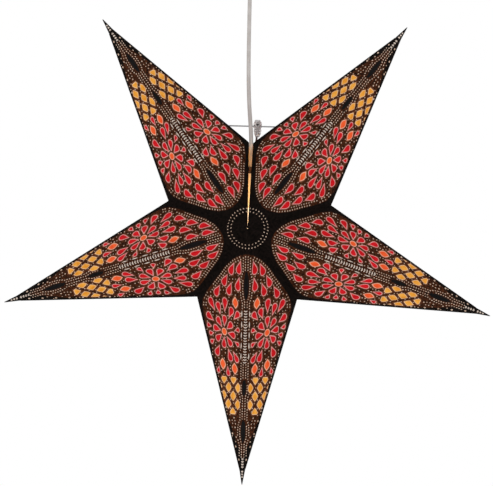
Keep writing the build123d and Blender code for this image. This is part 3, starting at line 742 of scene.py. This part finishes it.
def add_dot(u, v, size, gap=2.8, room=1.5):
    """Add a dot where it is seen, if it is free there."""
    x, y = seen(u, v)
    if from_field_edge(u, v) < DOT_CURVE_ROOM or from_flank(x, y) < DOT_FLANK_ROOM:
        return
    if v < DOT_RIDGE_ROOM or x > SHEET_END - DOT_END_ROOM:
        return
    cell = (int(u // DOT_GRID), int(v // DOT_GRID))
    for i in (-1, 0, 1):
        for j in (-1, 0, 1):
            for near_u, near_v in taken.get((cell[0] + i, cell[1] + j), ()):
                if math.hypot(near_u - u, near_v - v) < gap:
                    return
    if free_of_shapes(x, y, room):
        taken.setdefault(cell, []).append((u, v))
        dots.append((x, y, size))


def beside_ridge(u):
    """How wide a dark eye stands there on the ridge."""
    for start, end, width in EYES:
        if start < u < end:
            return width * math.sqrt(1 - ((2 * u - start - end) / (end - start)) ** 2)
    return 0


def along_edge(edge, step, inset):
    """Places along a seen line, moved inwards by a distance."""
    for (au, av), (bu, bv) in zip(edge, edge[1:]):
        length = math.hypot(bu - au, bv - av)
        count = max(1, round(length / step))
        for i in range(count):
            share = (i + 0.5) / count
            yield (au + (bu - au) * share + (bv - av) / length * inset,
                   av + (bv - av) * share - (bu - au) / length * inset)


u = BEADS_FROM
while u < ARM - TIP_LENGTH - BEAD_TIP_ROOM:
    keep("pale", half_round(seen(u, 0)[0], BEAD_LENGTH, BEAD_WIDTH), 0)
    u += BEAD_STEP
for u in CREASE_DOTS:
    add_dot(u, flank_seen(u) - BORDER, LARGE_DOT, gap=4)
for u in END_DOTS:
    add_dot(u, 0.5 * flank_seen(u) + 1, MIDDLE_DOT, gap=3.4)
for u, v in OPEN_PLACES:
    add_dot(u, v, LARGE_DOT, gap=3.4)
u = RIDGE_DOTS_FROM
while u < RIDGE_DOTS_TO:
    add_dot(u, RIDGE_DOT_NEAR + beside_ridge(u), SMALL_DOT)
    add_dot(u + RIDGE_DOT_STEP / 2, RIDGE_DOT_FAR + beside_ridge(u), SMALL_DOT)
    u += RIDGE_DOT_STEP
for inset in CURVE_DOT_INSETS:
    for u, v in along_edge(FIELD_CURVE, CURVE_DOT_STEP, inset):
        add_dot(u, v, BORDER_DOT)
for radius, count in MIDDLE_RINGS:
    for k in range(count):
        turn = math.radians(HALF_ARM_TURN * (k + 0.5) / count)
        dots.append((*seen(radius * math.cos(turn), radius * math.sin(turn)), SMALL_DOT))
for i in range(FILL_ROWS):
    for j in range(FILL_COLUMNS):
        u = FILL_FROM_U + FILL_STEP * i + random.uniform(-FILL_STRAY, FILL_STRAY)
        v = FILL_FROM_V + FILL_STEP * j + random.uniform(-FILL_STRAY, FILL_STRAY)
        if u < FILL_TO and from_field_edge(u, v) > FILL_CURVE_ROOM:
            add_dot(u, v, random.uniform(SMALLEST_DOT, SMALL_DOT), gap=3.0, room=1.1)
print("print:", len(shapes["pale"]), "rungs, slivers and beads,", len(dots), "dots")

# %% [markdown]
# ### Inks
# The dark ground is a near black, and the ornament stands on a brown field. Round every outline
# lies a warm halo, where the ink has soaked in. The coloured windows let the lamp through. A truly
# see-through card would need a far brighter lamp and a slow render, so each of these inks glows a
# little instead. Inside, the card is bare warm paper.

# %% Mix the inks
ground = mottled(
    "printed_ground", (0.0016, 0.001, 0.0006), (0.007, 0.004, 0.003), 300, 0.85, shine=0.05
)
paper_inside = mottled(
    "paper_inside", (0.68, 0.52, 0.34), (0.76, 0.61, 0.42), 200, 0.85, shine=0.1
)
field_ink = mottled(
    "ink_brown", (0.006, 0.002, 0.001), (0.072, 0.02, 0.006), 420, 0.85, shine=0.05
)
INK_TONES = {
    "red": ((0.42, 0.002, 0.005), (0.58, 0.006, 0.012), 0.05),
    "orange": ((0.66, 0.07, 0.014), (0.76, 0.105, 0.024), 0.1),
    "amber": ((0.6, 0.22, 0.015), (0.74, 0.34, 0.05), 0.1),
    "pale": ((0.5, 0.41, 0.35), (0.66, 0.56, 0.48), 0.0),
    # These three tint the pale printed outlines after the window they ring: painted glow of the
    # lamp through the card.
    "pink_glow": ((0.6, 0.24, 0.23), (0.74, 0.35, 0.33), 0.0),
    "peach_glow": ((0.7, 0.3, 0.2), (0.8, 0.42, 0.28), 0.0),
    "cream_glow": ((0.7, 0.42, 0.22), (0.8, 0.54, 0.32), 0.0),
    "dark": ((0.0012, 0.001, 0.001), (0.004, 0.003, 0.003), 0.0),
    "halo": ((0.058, 0.014, 0.004), (0.15, 0.044, 0.014), 0.0),
    "dots": ((0.36, 0.24, 0.17), (0.64, 0.48, 0.37), 0.0),
}
inks = {
    name: mottled(f"ink_{name}", dark, light, 160, 0.75, glow=glow, shine=0.08)
    for name, (dark, light, glow) in INK_TONES.items()
}
# Each pale outline takes the tint of its window: pale print with painted glow on it.
OUTLINE_INKS_WITH_GLOW = {"red": "pink_glow", "orange": "peach_glow", "amber": "cream_glow"}
sheet_materials = {"ground": ground, "paper": paper_inside, "field": field_ink, **inks}
print("inks:", ", ".join(sheet_materials))

# %% [markdown]
# ### The printed sheet
# All outlines become one mesh of thin prisms: the sheet and its field first, then halos and pale
# outlines a hair above it, then the inks. A plane could be cut and extruded with the edit tools,
# but there are hundreds of inlays, each with its own outline, so mesh code draws them from the
# layout. At the star's centre the sheet is cut back a very little, and a spot of light shows
# there. The sheets beside the open seam stand back at the valley, so that the seam gapes there.

# %% Build the sheet
SHEET = 0.1
LIFT = 0.03
FOOT = SHEET - LIFT
FIELD_TOP = SHEET + LIFT * 0.3
HALO_TOP = SHEET + LIFT * 0.6
RIM_TOP = SHEET + LIFT
INK_TOP = SHEET + 2 * LIFT
HALO = 1.6
DOT_SIDES = 6
CREASE_ROOM = 0.25
SEAM_ROOMS = {"left_upper_a": 2.2, "right_upper_b": 1.2}
INNER_ROOM = 0.45
SLOTS = {name: i for i, name in enumerate(sheet_materials)}


def add_prism(bm, outline, low, high, ink, ink_under=None):
    """A thin flat piece between two heights."""
    under = [bm.verts.new((x * MM, y * MM, low * MM)) for x, y in outline]
    top = [bm.verts.new((x * MM, y * MM, high * MM)) for x, y in outline]
    faces = [bm.faces.new(top), bm.faces.new(under[::-1])]
    for i in range(len(outline)):
        j = (i + 1) % len(outline)
        faces.append(bm.faces.new((under[i], under[j], top[j], top[i])))
    for face in faces:
        face.material_index = SLOTS[ink]
    faces[1].material_index = SLOTS[ink_under or ink]


def sheet_outline(seam_room):
    """The panel's own outline; seam_room is how far its valley corner stands back."""
    run, rise = RIDGE - VALLEY_ALONG, VALLEY_ACROSS
    flank = math.hypot(run, rise)
    crease_shift = CREASE_ROOM * flank / run
    corner = 1 - CREASE_ROOM * flank / (RIDGE * rise)
    end_across = ((RIDGE - SHEET_END) * rise / run - crease_shift) / (1 + END_SLOPE * rise / run)
    back = seam_room / flank
    valley = Vector((VALLEY_ALONG * corner + run * back, VALLEY_ACROSS * corner - rise * back))
    return [
        (INNER_ROOM, 0),
        (SHEET_END, 0),
        (SHEET_END + END_SLOPE * end_across, end_across),
        tuple(valley),
        tuple(valley.normalized() * INNER_ROOM),
    ]


def printed_sheet(name, seam_room=0):
    """The whole printed panel."""
    bm = bmesh.new()
    add_prism(bm, sheet_outline(seam_room), 0, SHEET, "ground", "paper")
    field = [seen(u, v) for u, v in FIELD_EDGE]
    add_prism(bm, facing_up(field), FOOT, FIELD_TOP, "field")
    for ink, group in shapes.items():
        for points, width in group:
            if width:
                add_prism(bm, grown(points, width + HALO), FOOT, HALO_TOP, "halo")
                # The pale outline, tinted as painted glow of the window it rings.
                add_prism(bm, grown(points, width), FOOT, RIM_TOP, OUTLINE_INKS_WITH_GLOW[ink])
            add_prism(bm, points, SHEET, INK_TOP, ink)
    for x, y, size in dots:
        add_prism(bm, oval(x, y, size * 2, size * 2, count=DOT_SIDES), FOOT, RIM_TOP, "dots")
    return finished_mesh(bm, name, sheet_materials.values())


closed_sheet = printed_sheet("printed_panel")
seam_sheets = {
    leaf_name: printed_sheet(f"printed_panel_{leaf_name}", room)
    for leaf_name, room in SEAM_ROOMS.items()
}
print("sheet:", len(closed_sheet.polygons), "faces")

# %% [markdown]
# ### Twenty copies on the frame
# The real card is printed flat and then folded, so all panels carry the same print. Each copy of
# the sheet gets its own mesh and is fitted to its panel by the three corners. Where the fit
# mirrors it, its faces are turned round again, so that they still point outwards.

# %% Fit the sheet to the twenty panels
for arm in ARMS:
    for letter in "ab":
        for face in ("front", "back"):
            centre, tip, valley = leaf_corners(arm, letter, face)
            x_way = (tip - centre).normalized()
            y_way = (valley - centre) - x_way * (valley - centre).dot(x_way)
            y_way.normalize()
            z_way = x_way.cross(y_way)
            outward = Vector((0, -1 if face == "front" else 1, 0))
            flipped = z_way.dot(outward) < 0
            if flipped:
                z_way = -z_way
            fit = Matrix((x_way, y_way, z_way)).transposed().to_4x4()
            fit.translation = centre
            mesh = seam_sheets.get(f"{arm}_{letter}", closed_sheet).copy()
            mesh.transform(fit)
            if flipped:
                mesh.flip_normals()
            panel = linked(f"{arm}_{letter}_{face}_card", mesh)
            node_name = f"{arm}_leaf_{letter}_{face}"
            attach(panel, node_name)
            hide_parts(node_name)
print("panels:", len(ARMS) * 4)

# %% [markdown]
# ## The folded edges and the tips
# The crease of each leaf is a dark printed fold. The glued tip is black, and the row of white
# dots runs on down its front and its back. The dots could be small spheres. Real ones are flat
# drops of ink, so each is a low eight-sided stud, wider at its foot, which narrows with the tip.

# %% Finish the creases and the tips
TIP_DOTS = 3
TIP_DOT_START, TIP_DOT_PITCH = 2.2, 3.4
TIP_DOT_LENGTH, TIP_DOT_WIDTH = 1.1, 1.3
TIP_DOT_SIDES = 8
TIP_DOT_FOOT, TIP_DOT_FACE = (-0.5, 1.15), (0.12, 0.75)
TIP_OVERHANG = 5.5
TIP_BLUNTNESS = 0.11
fold_black = mottled(
    "folded_edge", (0.002, 0.0015, 0.0015), (0.008, 0.006, 0.005), 300, 0.85, shine=0.05
)
for arm in ARMS:
    for letter in "ab":
        dress(f"{arm}_leaf_{letter}_crease", fold_black)


def add_tip_dot(bm, middle, face, outward, sideways, share):
    """A low stud on the tip; face is -1 at the front, and share is how wide the tip is there."""
    rings = []
    for depth, size in (TIP_DOT_FOOT, TIP_DOT_FACE):
        ring = []
        for k in range(TIP_DOT_SIDES):
            a = 2 * math.pi / TIP_DOT_SIDES * k
            spot = (outward * math.cos(a) * TIP_DOT_LENGTH * size
                    + sideways * math.sin(a) * TIP_DOT_WIDTH * share * size)
            ring.append(bm.verts.new(middle + (spot + Vector((0, face * depth, 0))) * MM))
        bm.faces.new(ring)
        rings.append(ring)
    for k in range(TIP_DOT_SIDES):
        n = (k + 1) % TIP_DOT_SIDES
        bm.faces.new((rings[0][k], rings[0][n], rings[1][n], rings[1][k]))


for arm in ARMS:
    outward = (tips[arm] - star_centre).normalized()
    sideways = outward.cross(Vector((0, 1, 0)))
    bm = bmesh.new()
    for face in (-1, 1):
        for i in range(TIP_DOTS):
            from_base = TIP_DOT_START + TIP_DOT_PITCH * i
            share = 1 - (1 - TIP_BLUNTNESS) * from_base / (TIP_LENGTH + TIP_OVERHANG)
            half_rise = TIP_LENGTH * HALF_DEPTH / TIP_RADIUS * share * MM
            place = tips[arm] + outward * (from_base - TIP_LENGTH) * MM
            middle = place + Vector((0, face * half_rise, 0))
            add_tip_dot(bm, middle, face, outward, sideways, share)
    bmesh.ops.recalc_face_normals(bm, faces=bm.faces)
    tip_dots = linked(f"{arm}_tip_dots", finished_mesh(bm, f"{arm}_tip_dots", [inks["pale"]]))
    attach(tip_dots, f"{arm}_leaf_a")
print("tips:", TIP_DOTS * 2, "dots each")

# %% [markdown]
# ## Light and floor
# The photograph shows the lantern cut out on plain white, lit softly from the front and by its own
# bulb. A white room alone would leave the card flat and grey. So the room is white, a plain pale
# floor lies far below the lantern, and two large soft lamps stand in front of it. A warm light
# sits under the bulb and shines out of the seam.

# %% Make the floor, the room and the lights
FLOOR_HEIGHT = -2.0
FLOOR_SIZE = 3
BULB_LIGHT_DROP = 40 * MM
bpy.ops.object.select_all(action="DESELECT")
bpy.ops.mesh.primitive_plane_add(size=FLOOR_SIZE, location=(0, 0, FLOOR_HEIGHT))
floor = bpy.context.object
floor.name = "pale_floor"
floor.data.materials.append(mottled("pale_floor", (0.86, 0.86, 0.85), (0.9, 0.9, 0.89), 2, 0.8))

world = bpy.data.worlds.new("white_room")
world.use_nodes = True
background = world.node_tree.nodes["Background"]
background.inputs["Color"].default_value = (1, 1, 1, 1)
background.inputs["Strength"].default_value = 1.0
bpy.context.scene.world = world
bpy.context.scene.view_settings.view_transform = "Standard"


def soft_lamp(name, place, size, power):
    """A large soft lamp that faces the star."""
    data = bpy.data.lights.new(name, "AREA")
    data.size = size
    data.energy = power
    lamp = linked(name, data)
    lamp.location = place
    lamp.rotation_euler = (star_centre - Vector(place)).to_track_quat("-Z", "Y").to_euler()


soft_lamp("front_left", place=(-2.2, -2.0, -1.5), size=1.4, power=10)
soft_lamp("front_right", place=(2.2, -2.0, -1.5), size=1.4, power=8)

bulb_low, bulb_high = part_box("bulb_glass")
bulb_light = bpy.data.lights.new("bulb_light", "POINT")
bulb_light.energy = 0.92
bulb_light.color = (1.0, 0.85, 0.67)
bulb_light.shadow_soft_size = 4 * MM
bulb_lamp = linked("bulb_light", bulb_light)
bulb_lamp.location = (bulb_low + bulb_high) / 2 - Vector((0, 0, BULB_LIGHT_DROP))
print("lights: two soft lamps and the bulb")
